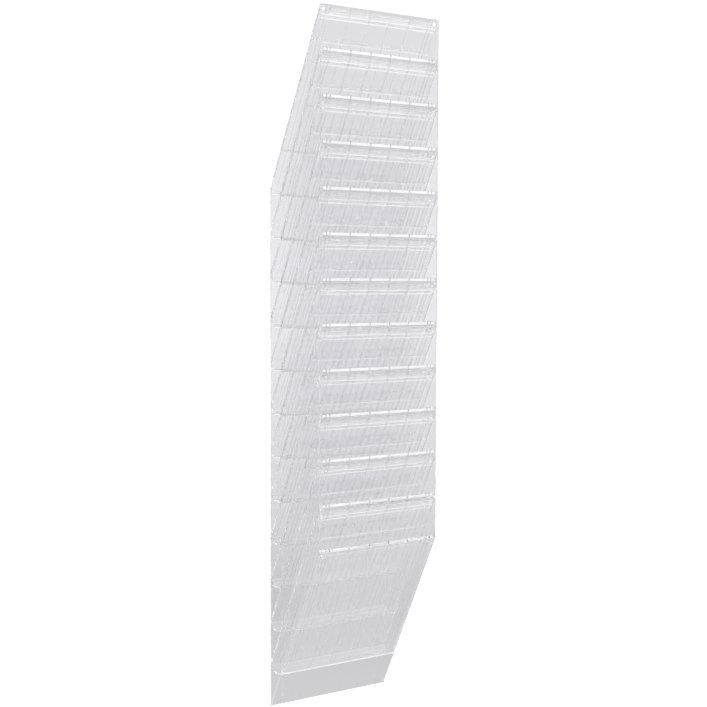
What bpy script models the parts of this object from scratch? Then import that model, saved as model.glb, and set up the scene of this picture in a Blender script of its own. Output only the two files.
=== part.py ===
"""Wall-hung magazine rack: twelve identical clear boxes stacked into a slanting cascade.

Frame: X is the width, the wall is the plane Y = 0, the mouths face -Y and +Z is up. The origin lies on
the wall, on the centre line, half-way up the back plate of the lowest box.
Each box is one thin-walled moulding. Its two studs plug into the rear panel of the box below it, and its
back plate stands on the shoulder of that box.
"""
import math

import bmesh
import bpy
from mathutils import Matrix, Vector

# Driving dimensions, in metres
WIDTH = 0.240
DEPTH = 0.140
PITCH = 0.0718  # height of one box's side wall, and of one step of the cascade
RISE = 0.2784  # height that a slanting panel gains over the depth
BOXES = 12
SIDE_WALL = 0.002
FRONT_WALL = 0.002
REAR_WALL = 0.0016
BACK_PLATE = 0.002
GAP = 0.0003  # between a box and its neighbour
SET_IN = 0.00005  # how far the panels' faces and ends stand inside the side walls' edges
FLOOR_TOP = 0.060  # above the box's lowest corner
FLOOR_WALL = 0.002
FLOOR_RADIUS = 0.010  # where the floor turns up into the back plate
GROOVE_DROPS = (0.0043, 0.0067, 0.0091, 0.0115, 0.0171, 0.051, 0.082)  # below the rear panel's top edge
GROOVE_WIDTH = 0.0012
GROOVE_DEPTH = 0.0005
RIB_SPACING = 0.040
RIB_COUNT = 6
RIB_WIDTH = 0.0014
RIB_HEIGHT = 0.0009
RIB_SETBACK = 0.0004  # of the ribs' ends from the mouth
EDGE_RIB_X = 0.1065  # the last rib beside the studs
CORNER_STEP = 0.0021  # width of the thicker strip where a panel meets a side wall
PLATE_RIB_X = 0.096
STUD_X = 0.112
STUD_DROP = 0.0072  # below the front panel's top edge
STUD_RADIUS = 0.0030
STUD_HOLE_RADIUS = 0.0034
STUD_REACH = 0.0024  # beyond the front panel
SCREW_X = 0.080
SCREW_Z = 0.050
SCREW_HOLE_RADIUS = 0.00225
ORIGIN_HEIGHT = PITCH / 2  # of the frame's origin above the rack's lowest corner

SLANT_LENGTH = math.hypot(DEPTH, RISE)
SLOPE = RISE / DEPTH
LEAN = DEPTH / SLANT_LENGTH  # turns a height between two slanting planes into the distance between them
DOWN_PANEL = Vector((0.0, DEPTH, -RISE)) / SLANT_LENGTH
OUT_OF_FRONT = Vector((0.0, -RISE, -DEPTH)) / SLANT_LENGTH


def clear_scene():
    for old in list(bpy.data.objects):
        bpy.data.objects.remove(old, do_unlink=True)


def front_line(y, inset):
    """Height of the box's lower slanting plane at y, moved into the box by inset."""
    return -SLOPE * y + inset / LEAN


def rear_line(y, inset):
    """Height of the box's upper slanting plane at y, moved into the box by inset."""
    return PITCH - SLOPE * y - inset / LEAN


def rear_point(drop, inset):
    """Point on the upper slanting plane, a height of drop below its front end, moved in by inset."""
    along = Vector((0.0, -DEPTH, PITCH + RISE)) + DOWN_PANEL * (drop * SLANT_LENGTH / RISE)
    moved = along + OUT_OF_FRONT * inset
    return moved.y, moved.z


def groove_points(drop):
    """The four corners of one groove across the outer face of the rear panel, from the top down."""
    half = GROOVE_WIDTH / 2
    skin = GAP / 2 + SET_IN
    return [
        rear_point(drop - half, skin),
        rear_point(drop - half * 0.6, skin + GROOVE_DEPTH),
        rear_point(drop + half * 0.6, skin + GROOVE_DEPTH),
        rear_point(drop + half, skin),
    ]


def arc_points(centre_y, centre_z, radius, start, end, steps):
    return [
        (
            centre_y + radius * math.cos(start + (end - start) * i / steps),
            centre_z + radius * math.sin(start + (end - start) * i / steps),
        )
        for i in range(steps + 1)
    ]


def wall_outline():
    """Outline in Y and Z of the rear panel, back plate, floor and front panel as one bent wall."""
    end = GAP / 2
    skin = GAP / 2 + SET_IN
    mouth_y = SET_IN - DEPTH
    shoulder_y = -(BACK_PLATE + GAP)
    floor_bottom = FLOOR_TOP - FLOOR_WALL
    inner_y = shoulder_y - REAR_WALL
    bend_y = inner_y - FLOOR_RADIUS
    bend_z = FLOOR_TOP + FLOOR_RADIUS
    outer_radius = FLOOR_RADIUS + FLOOR_WALL
    meets_plate = math.acos((-BACK_PLATE - bend_y) / outer_radius)
    front_inset = skin + FRONT_WALL
    rear_inset = skin + REAR_WALL

    points = [(0.0, end), (0.0, PITCH - end), (shoulder_y, PITCH - end)]
    points.append((shoulder_y, rear_line(shoulder_y, skin)))
    for drop in reversed(GROOVE_DROPS):
        points.extend(reversed(groove_points(drop)))
    points.append((mouth_y, rear_line(mouth_y, skin)))
    points.append((mouth_y, rear_line(mouth_y, rear_inset)))
    points.append((inner_y, rear_line(inner_y, rear_inset)))
    points.extend(arc_points(bend_y, bend_z, FLOOR_RADIUS, 0.0, -math.pi / 2, 6))
    corner_y = -(FLOOR_TOP - front_inset / LEAN) / SLOPE
    points.append((corner_y, FLOOR_TOP))
    points.append((mouth_y, front_line(mouth_y, front_inset)))
    points.append((mouth_y, front_line(mouth_y, skin)))
    points.append((-(floor_bottom - skin / LEAN) / SLOPE, floor_bottom))
    points.extend(arc_points(bend_y, bend_z, outer_radius, -math.pi / 2, -meets_plate, 4))
    points.append((-BACK_PLATE, end))
    return points


def side_outline():
    """Outline in Y and Z of a side wall: a sheared oblong, set into the back plate's foot and shoulder."""
    skin = GAP / 2
    end = skin + SET_IN
    shoulder_y = -(BACK_PLATE + GAP + SET_IN)
    foot_y = SET_IN - BACK_PLATE
    return [
        (-SET_IN, end),
        (-SET_IN, PITCH - end),
        (shoulder_y, PITCH - end),
        (shoulder_y, rear_line(shoulder_y, skin)),
        (-DEPTH, rear_line(-DEPTH, skin)),
        (-DEPTH, front_line(-DEPTH, skin)),
        (foot_y, front_line(foot_y, skin)),
        (foot_y, end),
    ]


def prism(outline, low_x, high_x):
    """Closed solid with the given Y and Z outline between two X values."""
    body = bmesh.new()
    near = [body.verts.new((low_x, y, z)) for y, z in outline]
    face = body.faces.new(near)
    moved = bmesh.ops.extrude_face_region(body, geom=[face])
    lifted = [v for v in moved["geom"] if isinstance(v, bmesh.types.BMVert)]
    bmesh.ops.translate(body, verts=lifted, vec=(high_x - low_x, 0.0, 0.0))
    bmesh.ops.recalc_face_normals(body, faces=body.faces)
    return body


def cylinder(radius, start, end, sides):
    """Closed round bar from start to end."""
    body = bmesh.new()
    axis = end - start
    turn = axis.to_track_quat("Z", "Y").to_matrix().to_4x4()
    place = Matrix.Translation((start + end) / 2) @ turn
    bmesh.ops.create_cone(
        body, cap_ends=True, segments=sides, radius1=radius, radius2=radius, depth=axis.length, matrix=place
    )
    return body


def scratch_object(name, body):
    """Temporary object for a boolean step."""
    mesh = bpy.data.meshes.new(name)
    body.to_mesh(mesh)
    body.free()
    made = bpy.data.objects.new(name, mesh)
    bpy.context.scene.collection.objects.link(made)
    return made


def combine(target, tools, operation):
    """Apply one exact boolean after another to target, and remove the tools."""
    for tool in tools:
        step = target.modifiers.new("step", "BOOLEAN")
        step.operation = operation
        step.solver = "EXACT"
        step.object = tool
        evaluated = target.evaluated_get(bpy.context.evaluated_depsgraph_get())
        result = bpy.data.meshes.new_from_object(evaluated)
        target.modifiers.remove(step)
        target.data = result
        bpy.data.objects.remove(tool, do_unlink=True)


def rib_spans():
    """Low and high X of each slide rib, edge rib and corner strip."""
    first = -RIB_SPACING * (RIB_COUNT - 1) / 2
    middles = [first + RIB_SPACING * i for i in range(RIB_COUNT)] + [-EDGE_RIB_X, EDGE_RIB_X]
    spans = [(x - RIB_WIDTH / 2, x + RIB_WIDTH / 2) for x in middles]
    wall_middle = (WIDTH - SIDE_WALL) / 2
    strip_end = WIDTH / 2 - SIDE_WALL - CORNER_STEP
    return spans + [(-wall_middle, -strip_end), (strip_end, wall_middle)]


def panel_ribs():
    """Low ribs and corner strips down the pocket side of the front and rear panels."""
    bury = 0.0008
    mouth_y = RIB_SETBACK - DEPTH
    front_foot = GAP / 2 + FRONT_WALL
    rear_foot = GAP / 2 + REAR_WALL
    front_end = -0.032
    rear_end = -0.006
    front = [
        (mouth_y, front_line(mouth_y, front_foot - bury)),
        (mouth_y, front_line(mouth_y, front_foot + RIB_HEIGHT)),
        (front_end, front_line(front_end, front_foot + RIB_HEIGHT)),
        (front_end, front_line(front_end, front_foot - bury)),
    ]
    rear = [
        (mouth_y, rear_line(mouth_y, rear_foot - bury)),
        (mouth_y, rear_line(mouth_y, rear_foot + RIB_HEIGHT)),
        (rear_end, rear_line(rear_end, rear_foot + RIB_HEIGHT)),
        (rear_end, rear_line(rear_end, rear_foot - bury)),
    ]
    ribs = []
    for low_x, high_x in rib_spans():
        for outline in (front, rear):
            ribs.append(scratch_object("rib", prism(outline, low_x, high_x)))
    return ribs


def plate_ribs():
    """Two upright ribs on the back plate below the floor."""
    outline = [
        (-BACK_PLATE / 2, 0.012),
        (-BACK_PLATE / 2, FLOOR_TOP - FLOOR_WALL / 2),
        (-0.006, FLOOR_TOP - FLOOR_WALL / 2),
        (-0.006, 0.018),
    ]
    half = RIB_WIDTH / 2
    return [scratch_object("plate_rib", prism(outline, x - half, x + half)) for x in (-PLATE_RIB_X, PLATE_RIB_X)]


def stud_and_hole_tools():
    """Studs on the front panel, and the holes in the rear panel that take the studs of the box above."""
    drop = DOWN_PANEL * (STUD_DROP * SLANT_LENGTH / RISE)
    studs = []
    holes = []
    for x in (-STUD_X, STUD_X):
        on_front = Vector((x, -DEPTH, RISE)) + drop
        on_rear = on_front + Vector((0.0, 0.0, PITCH))
        root = on_front - OUT_OF_FRONT * (GAP / 2 + FRONT_WALL / 2)
        tip = on_front + OUT_OF_FRONT * STUD_REACH
        studs.append(scratch_object("stud", cylinder(STUD_RADIUS, root, tip, 16)))
        above = on_rear - OUT_OF_FRONT * 0.004
        below = on_rear + OUT_OF_FRONT * 0.004
        holes.append(scratch_object("stud_hole", cylinder(STUD_HOLE_RADIUS, above, below, 16)))
    return studs, holes


def screw_holes():
    reach = 0.005
    return [
        scratch_object(
            "screw_hole",
            cylinder(SCREW_HOLE_RADIUS, Vector((x, -reach, SCREW_Z)), Vector((x, reach, SCREW_Z)), 12),
        )
        for x in (-SCREW_X, SCREW_X)
    ]


def box_mesh():
    """One box, with its lowest corner at height 0."""
    half = WIDTH / 2
    reach = half - SIDE_WALL / 2
    box = scratch_object("box", prism(wall_outline(), -reach, reach))
    sides = [
        scratch_object("side", prism(side_outline(), -half, SIDE_WALL - half)),
        scratch_object("side", prism(side_outline(), half - SIDE_WALL, half)),
    ]
    studs, stud_holes = stud_and_hole_tools()
    combine(box, sides + panel_ribs() + plate_ribs() + studs, "UNION")
    combine(box, stud_holes + screw_holes(), "DIFFERENCE")
    mesh = box.data
    bpy.data.objects.remove(box, do_unlink=True)
    tidy = bmesh.new()
    tidy.from_mesh(mesh)
    bmesh.ops.remove_doubles(tidy, verts=tidy.verts, dist=0.000002)
    bmesh.ops.dissolve_limit(
        tidy, angle_limit=math.radians(0.1), verts=tidy.verts, edges=tidy.edges, use_dissolve_boundaries=False
    )
    tidy.to_mesh(mesh)
    tidy.free()
    mesh.name = "rack_box"
    return mesh


def clear_plastic():
    made = bpy.data.materials.new("clear_polystyrene")
    made.use_nodes = True
    shader = made.node_tree.nodes["Principled BSDF"]
    shader.inputs["Base Color"].default_value = (0.86, 0.87, 0.89, 1.0)
    shader.inputs["Roughness"].default_value = 0.08
    shader.inputs["Metallic"].default_value = 0.0
    shader.inputs["Alpha"].default_value = 0.35
    return made


def build():
    clear_scene()
    mesh = box_mesh()
    material = clear_plastic()
    for number in range(1, BOXES + 1):
        own = mesh if number == BOXES else mesh.copy()
        own.materials.clear()
        own.materials.append(material.copy() if number < BOXES else material)
        box = bpy.data.objects.new(f"box_{number:02d}", own)
        box.location = (0.0, 0.0, PITCH * (BOXES - number) - ORIGIN_HEIGHT)
        bpy.context.scene.collection.objects.link(box)


build()
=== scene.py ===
"""Looks of the clear magazine rack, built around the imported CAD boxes."""
import math

import bpy
from mathutils import Matrix, Vector


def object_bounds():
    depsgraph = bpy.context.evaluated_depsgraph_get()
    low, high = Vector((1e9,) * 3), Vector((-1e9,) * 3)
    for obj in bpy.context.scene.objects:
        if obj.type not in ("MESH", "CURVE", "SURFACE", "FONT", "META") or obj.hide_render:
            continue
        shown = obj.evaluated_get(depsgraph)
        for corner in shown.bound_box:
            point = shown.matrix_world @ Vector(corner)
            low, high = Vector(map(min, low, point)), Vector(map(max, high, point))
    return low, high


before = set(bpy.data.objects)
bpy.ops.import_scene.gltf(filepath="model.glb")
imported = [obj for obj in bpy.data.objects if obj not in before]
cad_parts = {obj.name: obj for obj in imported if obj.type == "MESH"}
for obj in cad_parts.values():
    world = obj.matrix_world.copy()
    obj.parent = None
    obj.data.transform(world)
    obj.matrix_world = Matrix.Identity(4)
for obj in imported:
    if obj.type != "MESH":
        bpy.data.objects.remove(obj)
cad_low, cad_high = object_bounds()

# Where the camera stands, how it is turned, and its lens and sensor in millimetres
CAMERA_PLACE = Vector((-1.4155, -1.9710, 0.6757))
CAMERA_YAW = math.radians(-36.65)
CAMERA_PITCH = math.radians(-2.97)
CAMERA_ROLL = math.radians(0.186)
CAMERA_LENS = 72.81
CAMERA_SENSOR = 36.0
CAMERA_NEAREST = 0.05
CAMERA_FARTHEST = 100.0

# Area lights: name, place, width and height in metres, power in watts
LIGHTS = (
    ("key", (-1.2, -1.6, 2.6), (2.6, 2.0), 36.0),
    ("rim", (1.8, -0.6, 1.6), (1.6, 2.4), 4.0),
)
LIGHT_TARGET = Vector((0.0, 0.0, 0.5))

# Light is reflected many times inside the thin walls, and low limits leave dark lines there
MOST_BOUNCES = 128
GLOSSY_BOUNCES = 96
TRANSPARENT_BOUNCES = 64

WHITE = (1.0, 1.0, 1.0, 1.0)
BACKDROP_STRENGTH = 1.05
GROUND_HALF_SIZE = 30.0
GROUND_BELOW_RACK = 0.9
GROUND_COLOUR = (0.9, 0.9, 0.9, 1.0)
GROUND_ROUGHNESS = 0.9
GROUND_GLOW = 0.6

# The plastic. A pair holds the lowest and the highest value that a noise gives
PLASTIC_TINT = (0.986, 0.986, 0.990, 1.0)
PLASTIC_IOR = 1.59
EDGE_ROUND = 0.00025
EDGE_SEGMENTS = 2
EDGE_ANGLE = math.radians(50.0)
# Painted glow: every skin of the plastic glows a little, standing in for light scattered in it
PAINTED_SKIN_GLOW = 0.003  # light that each skin of the plastic adds to a ray
HAZE_ROUGHNESS = (0.010, 0.045)
HAZE_SCALE = 18.0
RUBBED_ROUGHNESS = (0.0, 0.025)
RUBBED_STRETCH = (900.0, 30.0, 12.0)
WAVE_SCALE = 32.0
WAVE_STRENGTH = 0.15
WAVE_HEIGHT = 0.0003
# The painted highlight: a whitish, glowing closure that stands in for light caught by edges and
# grooves
PAINTED_HIGHLIGHT_COLOUR = (0.93, 0.93, 0.95, 1.0)
PAINTED_HIGHLIGHT_ROUGHNESS = 0.35
PAINTED_HIGHLIGHT_SPREAD = (0.80, 1.12)
PAINTED_HIGHLIGHT_STRETCH = (14.0, 30.0, 30.0)
NOISE_FLOOR = 0.32  # most of a Noise Texture's values lie between these two
NOISE_CEILING = 0.68

# Tone of the studio around the rack, by the upward share of the direction: floor, wall and ceiling
STUDIO_TINT = (0.992, 0.985, 1.0)
STUDIO_TONES = (
    (-1.0, 0.95),
    (-0.6, 0.66),
    (-0.28, 0.63),
    (-0.22, 0.57),
    (-0.16, 0.71),
    (-0.02, 0.86),
    (0.05, 0.85),
    (0.12, 0.82),
    (0.17, 0.76),
    (0.3, 0.82),
    (0.5, 0.90),
    (0.8, 0.95),
)

# The rack's own sizes
WIDTH = 0.240
DEPTH = 0.140
PITCH = 0.0718
RISE = 0.2784
SIDE_WALL = 0.002
ORIGIN_HEIGHT = PITCH / 2
SLOPE = RISE / DEPTH
RIB_XS = (-0.1065, -0.1, -0.06, -0.02, 0.02, 0.06, 0.1, 0.1065)
LINE_DROPS = (0.0115, 0.0171, 0.051, 0.082)
FINE_LINE_DROPS = (0.0043, 0.0067, 0.0091)

# How far, in metres, the painted highlights and painted shade reach
REAR_BAND = 0.0055
FRONT_BAND = 0.0060
LINE_HALF_WIDTH = 0.0008
FINE_LINE_HALF_WIDTH = 0.0004
LINE_SOFTNESS = 0.0001
LIP_FACE = 0.0006
LIP_BAND = 0.0040
LIP_REACH = 0.1135
MOUTH_BAND_REACH = 0.018
RIB_BREAK = 0.0011
RIB_SOFTNESS = 0.0003
CORNER_STRIP = 0.0021
FLOOR_LOW = 0.0570  # heights of a pocket's floor above its box's lowest corner
FLOOR_HIGH = 0.0605
FLOOR_FRONT = -0.031  # the floor's front and back in Y, and where its front strip ends
FLOOR_BACK = -0.0022
FLOOR_NOSE = -0.0272
SIDE_JOINT = 0.0014

# How strong the painted highlights are, from 0 for clear to 1 for fully whitish, and how much they
# glow
LINE_HIGHLIGHT = 0.66
FINE_LINE_HIGHLIGHT = 0.36
LIP_HIGHLIGHT = 0.56
MOUTH_BAND_HIGHLIGHT = 0.07
MOUTH_EDGE_HIGHLIGHT = 0.15
CORNER_HIGHLIGHT = 0.24
FLOOR_HIGHLIGHT = 0.22
NOSE_HIGHLIGHT = 0.60
PAINTED_HIGHLIGHT_GLOW = 0.34

# How much of the darker tint, the painted shade, the darker places take
PAINTED_SHADE_TINT = (0.45, 0.45, 0.47, 1.0)
RIB_SHADE = 0.12
END_SHADE = 0.30
JOINT_SHADE = 0.35


def link(tree, source, target):
    tree.links.new(source, target)


def add_node(tree, kind, **settings):
    made = tree.nodes.new(kind)
    for key, value in settings.items():
        setattr(made, key, value)
    return made


def math_node(tree, operation, first, second=None, third=None):
    """A Math node. Each operand is a socket or a number."""
    made = add_node(tree, "ShaderNodeMath", operation=operation)
    for slot, operand in zip(made.inputs, (first, second, third)):
        if isinstance(operand, (int, float)):
            slot.default_value = operand
        elif operand is not None:
            link(tree, operand, slot)
    return made.outputs[0]


def band(tree, value, middle, half_width, soft):
    """1 where value lies within half_width of middle, fading to 0 over soft."""
    away = math_node(tree, "ABSOLUTE", math_node(tree, "SUBTRACT", value, middle))
    fade = math_node(tree, "DIVIDE", math_node(tree, "SUBTRACT", half_width + soft, away), soft)
    return math_node(tree, "MINIMUM", math_node(tree, "MAXIMUM", fade, 0.0), 1.0)


def highest(tree, values):
    top = values[0]
    for value in values[1:]:
        top = math_node(tree, "MAXIMUM", top, value)
    return top


def all_of(tree, values):
    product = values[0]
    for value in values[1:]:
        product = math_node(tree, "MULTIPLY", product, value)
    return product


def opposite(tree, value):
    return math_node(tree, "SUBTRACT", 1.0, value)


def noise(tree, vector, scale, detail, spread_between):
    """Noise spread between two values."""
    made = add_node(tree, "ShaderNodeTexNoise")
    made.inputs["Scale"].default_value = scale
    made.inputs["Detail"].default_value = detail
    link(tree, vector, made.inputs["Vector"])
    spread = add_node(tree, "ShaderNodeMapRange")
    spread.inputs["From Min"].default_value = NOISE_FLOOR
    spread.inputs["From Max"].default_value = NOISE_CEILING
    spread.inputs["To Min"].default_value = spread_between[0]
    spread.inputs["To Max"].default_value = spread_between[1]
    link(tree, made.outputs["Fac"], spread.inputs["Value"])
    return spread.outputs["Result"]


def stretched(tree, vector, stretch):
    made = add_node(tree, "ShaderNodeMapping")
    made.inputs["Scale"].default_value = stretch
    link(tree, vector, made.inputs["Vector"])
    return made.outputs["Vector"]


def lines_across(tree, y, drops, half_width):
    """Mask of the lines that cross a slanting panel at the given heights below its front end."""
    half = half_width / SLOPE
    middles = [drop / SLOPE - DEPTH for drop in drops]
    return highest(tree, [band(tree, y, middle, half, LINE_SOFTNESS) for middle in middles])


def places_on_box(tree, x, y, z):
    """Masks, 0 to 1, of the places on a box that take painted highlights or painted shade."""
    reach = math_node(tree, "ABSOLUTE", x)
    # Height above the lowest box's slanting plane, counted afresh from each box's own plane
    above = math_node(tree, "MULTIPLY_ADD", y, SLOPE, math_node(tree, "ADD", z, ORIGIN_HEIGHT))
    in_box = math_node(tree, "WRAP", above, PITCH, 0.0)
    on_rear = math_node(tree, "GREATER_THAN", in_box, PITCH - REAR_BAND)
    on_front = math_node(tree, "LESS_THAN", in_box, FRONT_BAND)
    inside = math_node(tree, "LESS_THAN", reach, WIDTH / 2 - SIDE_WALL)
    on_lip = math_node(tree, "LESS_THAN", reach, LIP_REACH)
    in_corner = math_node(tree, "GREATER_THAN", reach, WIDTH / 2 - SIDE_WALL - CORNER_STRIP)
    at_mouth = math_node(tree, "LESS_THAN", y, LIP_FACE - DEPTH)
    near_mouth = math_node(tree, "LESS_THAN", y, MOUTH_BAND_REACH / SLOPE - DEPTH)
    lines = lines_across(tree, y, LINE_DROPS, LINE_HALF_WIDTH)
    fine_lines = lines_across(tree, y, FINE_LINE_DROPS, FINE_LINE_HALF_WIDTH)
    ribs = highest(tree, [band(tree, x, rib_x, RIB_BREAK, RIB_SOFTNESS) for rib_x in RIB_XS])
    on_panel = highest(tree, [on_rear, on_front])
    at_joint = math_node(tree, "LESS_THAN", in_box, SIDE_JOINT)
    low_on_lip = math_node(tree, "LESS_THAN", in_box, LIP_BAND)
    height = math_node(tree, "WRAP", math_node(tree, "ADD", z, ORIGIN_HEIGHT), PITCH, 0.0)
    floor = all_of(
        tree,
        [
            math_node(tree, "GREATER_THAN", height, FLOOR_LOW),
            math_node(tree, "LESS_THAN", height, FLOOR_HIGH),
            math_node(tree, "GREATER_THAN", y, FLOOR_FRONT),
            math_node(tree, "LESS_THAN", y, FLOOR_BACK),
            inside,
        ],
    )
    return {
        # Painted highlights: whitish glowing lines along the grooves and strokes along the lips
        "line": all_of(tree, [lines, on_rear, inside]),
        "fine_line": all_of(tree, [fine_lines, on_rear, inside]),
        "lip": all_of(tree, [at_mouth, low_on_lip, on_lip, opposite(tree, ribs)]),
        # Painted highlight: a whitish glowing band over the panels near the mouth
        "haze": all_of(tree, [near_mouth, on_panel, inside]),
        # Painted highlights on the corner strips and the side walls' mouth edges
        "corner": all_of(tree, [in_corner, inside, on_panel]),
        "mouth_edge": all_of(tree, [opposite(tree, inside), at_mouth]),
        # Painted shade along the side walls' joints
        "joint": all_of(tree, [opposite(tree, inside), at_joint]),
        # Painted highlights on the pocket floor and its front nose
        "floor": floor,
        "nose": all_of(tree, [floor, math_node(tree, "LESS_THAN", y, FLOOR_NOSE)]),
        # Painted shade at the ribs and the rear panels' ends
        "rib": all_of(tree, [ribs, on_panel]),
        "rear_end": all_of(tree, [at_mouth, on_rear, inside]),
    }


def weighed(tree, places, weights):
    """The strongest of the named places at each point, each by its weight."""
    return highest(
        tree, [math_node(tree, "MULTIPLY", places[name], weight) for name, weight in weights]
    )


def clear_plastic():
    """Clear moulded polystyrene: glassy walls, with glowing painted highlights and painted shade
    drawn by position.
    """
    made = bpy.data.materials.new("clear_polystyrene")
    made.use_nodes = True
    tree = made.node_tree
    shader = tree.nodes["Principled BSDF"]
    shader.inputs["Transmission Weight"].default_value = 1.0
    shader.inputs["IOR"].default_value = PLASTIC_IOR
    shader.inputs["Emission Color"].default_value = WHITE
    # Painted glow over all the plastic
    shader.inputs["Emission Strength"].default_value = PAINTED_SKIN_GLOW

    place = add_node(tree, "ShaderNodeTexCoord").outputs["Object"]
    split = add_node(tree, "ShaderNodeSeparateXYZ")
    link(tree, place, split.inputs["Vector"])
    places = places_on_box(tree, *split.outputs)

    # Painted shade: a darker base colour at the ribs, the rear ends and the joints
    shades = (("rib", RIB_SHADE), ("rear_end", END_SHADE), ("joint", JOINT_SHADE))
    shade = weighed(tree, places, shades)
    tint = add_node(tree, "ShaderNodeMix", data_type="RGBA")
    link(tree, shade, tint.inputs["Factor"])
    tint.inputs[6].default_value = PLASTIC_TINT
    tint.inputs[7].default_value = PAINTED_SHADE_TINT
    link(tree, tint.outputs[2], shader.inputs["Base Color"])

    haze = noise(tree, place, HAZE_SCALE, 4.0, HAZE_ROUGHNESS)
    rubbed = noise(tree, stretched(tree, place, RUBBED_STRETCH), 1.0, 2.0, RUBBED_ROUGHNESS)
    link(tree, math_node(tree, "ADD", haze, rubbed), shader.inputs["Roughness"])

    waves = noise(tree, place, WAVE_SCALE, 2.0, (0.0, 1.0))
    bump = add_node(tree, "ShaderNodeBump")
    bump.inputs["Strength"].default_value = WAVE_STRENGTH
    bump.inputs["Distance"].default_value = WAVE_HEIGHT
    link(tree, waves, bump.inputs["Height"])
    link(tree, bump.outputs["Normal"], shader.inputs["Normal"])

    # Painted highlight closure, whitish and glowing, mixed in by the masks below
    painted_highlight = add_node(tree, "ShaderNodeBsdfPrincipled")
    painted_highlight.inputs["Base Color"].default_value = PAINTED_HIGHLIGHT_COLOUR
    painted_highlight.inputs["Roughness"].default_value = PAINTED_HIGHLIGHT_ROUGHNESS
    painted_highlight.inputs["Emission Color"].default_value = WHITE
    painted_highlight.inputs["Emission Strength"].default_value = PAINTED_HIGHLIGHT_GLOW
    uneven = noise(tree, stretched(tree, place, PAINTED_HIGHLIGHT_STRETCH), 1.0, 2.0, PAINTED_HIGHLIGHT_SPREAD)
    mix = add_node(tree, "ShaderNodeMixShader")
    # How much painted highlight each place takes
    highlight_share = weighed(
        tree,
        places,
        (
            ("line", LINE_HIGHLIGHT),
            ("fine_line", FINE_LINE_HIGHLIGHT),
            ("lip", LIP_HIGHLIGHT),
            ("haze", MOUTH_BAND_HIGHLIGHT),
            ("corner", CORNER_HIGHLIGHT),
            ("mouth_edge", MOUTH_EDGE_HIGHLIGHT),
            ("floor", FLOOR_HIGHLIGHT),
            ("nose", NOSE_HIGHLIGHT),
        ),
    )
    link(tree, math_node(tree, "MULTIPLY", highlight_share, uneven), mix.inputs[0])
    link(tree, shader.outputs[0], mix.inputs[1])
    link(tree, painted_highlight.outputs[0], mix.inputs[2])
    link(tree, mix.outputs[0], tree.nodes["Material Output"].inputs["Surface"])
    return made


def make_world():
    """A white backdrop for the camera, and a toned studio for every other ray."""
    world = bpy.data.worlds.new("studio")
    bpy.context.scene.world = world
    world.use_nodes = True
    tree = world.node_tree
    tree.nodes.clear()
    out = add_node(tree, "ShaderNodeOutputWorld")
    path = add_node(tree, "ShaderNodeLightPath")
    seen = add_node(tree, "ShaderNodeBackground")
    seen.inputs["Color"].default_value = WHITE
    seen.inputs["Strength"].default_value = BACKDROP_STRENGTH
    studio = add_node(tree, "ShaderNodeBackground")
    place = add_node(tree, "ShaderNodeTexCoord")
    split = add_node(tree, "ShaderNodeSeparateXYZ")
    link(tree, place.outputs["Generated"], split.inputs["Vector"])
    rise = math_node(tree, "MULTIPLY_ADD", split.outputs["Z"], 0.5, 0.5)
    ramp = add_node(tree, "ShaderNodeValToRGB")
    for stop in ramp.color_ramp.elements[1:]:
        ramp.color_ramp.elements.remove(stop)
    for number, (slant, tone) in enumerate(STUDIO_TONES):
        at = (slant + 1.0) / 2.0
        stop = ramp.color_ramp.elements[0] if number == 0 else ramp.color_ramp.elements.new(at)
        stop.position = at
        stop.color = (*(tone * share for share in STUDIO_TINT), 1.0)
    link(tree, rise, ramp.inputs["Fac"])
    link(tree, ramp.outputs["Color"], studio.inputs["Color"])
    mix = add_node(tree, "ShaderNodeMixShader")
    link(tree, path.outputs["Is Camera Ray"], mix.inputs[0])
    link(tree, studio.outputs[0], mix.inputs[1])
    link(tree, seen.outputs[0], mix.inputs[2])
    link(tree, mix.outputs[0], out.inputs["Surface"])


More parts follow.
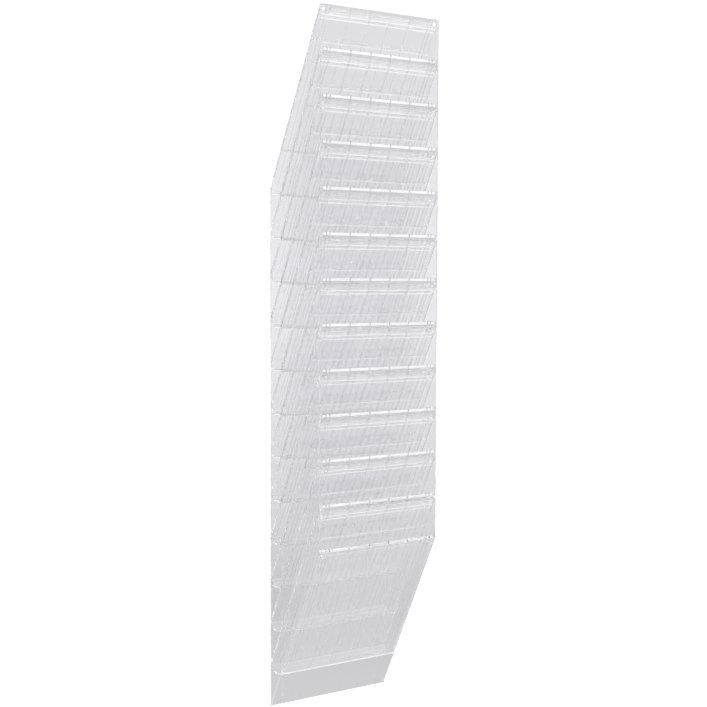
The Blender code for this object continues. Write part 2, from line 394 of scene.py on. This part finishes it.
def make_floor():
    """A pale floor, hidden from reflected and refracted rays."""
    mesh = bpy.data.meshes.new("floor")
    height = cad_low.z - GROUND_BELOW_RACK
    signs = ((-1, -1), (1, -1), (1, 1), (-1, 1))
    corners = [(a * GROUND_HALF_SIZE, b * GROUND_HALF_SIZE, height) for a, b in signs]
    mesh.from_pydata(corners, [], [(0, 1, 2, 3)])
    floor = bpy.data.objects.new("floor", mesh)
    bpy.context.scene.collection.objects.link(floor)
    made = bpy.data.materials.new("pale_floor")
    made.use_nodes = True
    tree = made.node_tree
    shader = tree.nodes["Principled BSDF"]
    shader.inputs["Base Color"].default_value = GROUND_COLOUR
    shader.inputs["Roughness"].default_value = GROUND_ROUGHNESS
    shader.inputs["Emission Color"].default_value = WHITE
    shader.inputs["Emission Strength"].default_value = GROUND_GLOW
    mesh.materials.append(made)
    floor.visible_glossy = False
    floor.visible_transmission = False
    floor.visible_diffuse = False


def add_light(name, place, size, power):
    data = bpy.data.lights.new(name, "AREA")
    data.shape = "RECTANGLE"
    data.size = size[0]
    data.size_y = size[1]
    data.energy = power
    made = bpy.data.objects.new(name, data)
    made.location = place
    made.rotation_mode = "QUATERNION"
    made.rotation_quaternion = (LIGHT_TARGET - Vector(place)).to_track_quat("-Z", "Y")
    bpy.context.scene.collection.objects.link(made)


def make_camera():
    data = bpy.data.cameras.new("camera")
    data.lens = CAMERA_LENS
    data.sensor_width = CAMERA_SENSOR
    data.clip_start = CAMERA_NEAREST
    data.clip_end = CAMERA_FARTHEST
    made = bpy.data.objects.new("camera", data)
    turn = (
        Matrix.Rotation(CAMERA_YAW, 4, "Z")
        @ Matrix.Rotation(math.radians(90.0) + CAMERA_PITCH, 4, "X")
        @ Matrix.Rotation(CAMERA_ROLL, 4, "Z")
    )
    made.matrix_world = Matrix.Translation(CAMERA_PLACE) @ turn
    bpy.context.scene.collection.objects.link(made)
    bpy.context.scene.camera = made


def dress_boxes(material):
    """The plastic and rounded edges on every CAD box."""
    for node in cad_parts.values():
        node.data.materials.clear()
        node.data.materials.append(material)
        rounding = node.modifiers.new("edge_round", "BEVEL")
        rounding.width = EDGE_ROUND
        rounding.segments = EDGE_SEGMENTS
        rounding.limit_method = "ANGLE"
        rounding.angle_limit = EDGE_ANGLE


make_camera()
make_world()
make_floor()
for light in LIGHTS:
    add_light(*light)
dress_boxes(clear_plastic())

settings = bpy.context.scene
settings.view_settings.view_transform = "Standard"
settings.cycles.max_bounces = MOST_BOUNCES
settings.cycles.transmission_bounces = MOST_BOUNCES
settings.cycles.glossy_bounces = GLOSSY_BOUNCES
settings.cycles.transparent_max_bounces = TRANSPARENT_BOUNCES
